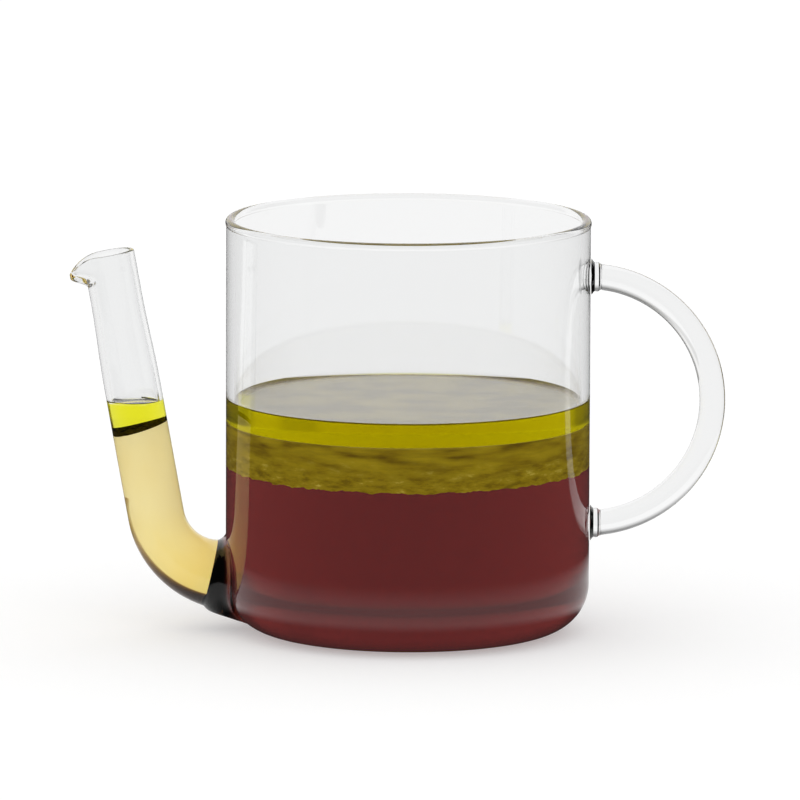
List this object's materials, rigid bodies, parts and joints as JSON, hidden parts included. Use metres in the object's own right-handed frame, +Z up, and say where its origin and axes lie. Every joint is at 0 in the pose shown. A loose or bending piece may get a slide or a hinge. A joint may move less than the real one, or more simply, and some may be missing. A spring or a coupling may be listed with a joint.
{
  "type": "gravy fat separator",
  "caption": "Clear glass jug that lets fat float off gravy, with a bent spout drawing from the bottom of the jug and a round rod handle.",
  "frame": {"origin": "centre of the flat base, on the jug's vertical axis", "axes": "+Z up along the jug's axis, +X towards the handle, -X towards the spout"},
  "size_m": [0.2072, 0.1154, 0.1313],
  "materials": {
    "clear_glass": "clear fire-polished borosilicate glass",
    "gravy": "dark red-brown clear liquid",
    "fat_emulsion": "olive fat full of small bubbles and dark specks",
    "liquid_fat": "clear yellow-green liquid fat",
    "cream_emulsion": "opaque cream-coloured emulsion"
  },
  "bodies": {
    "root": {"jug_body": "clear_glass", "spout_tube": "clear_glass", "spout_weld": "clear_glass", "handle_rod": "clear_glass", "handle_upper_weld": "clear_glass", "handle_lower_weld": "clear_glass", "gravy": "gravy", "emulsion_band": "fat_emulsion", "fat_layer": "liquid_fat", "spout_gravy": "gravy", "spout_cream": "cream_emulsion", "spout_fat": "liquid_fat"}
  },
  "joints": []
}
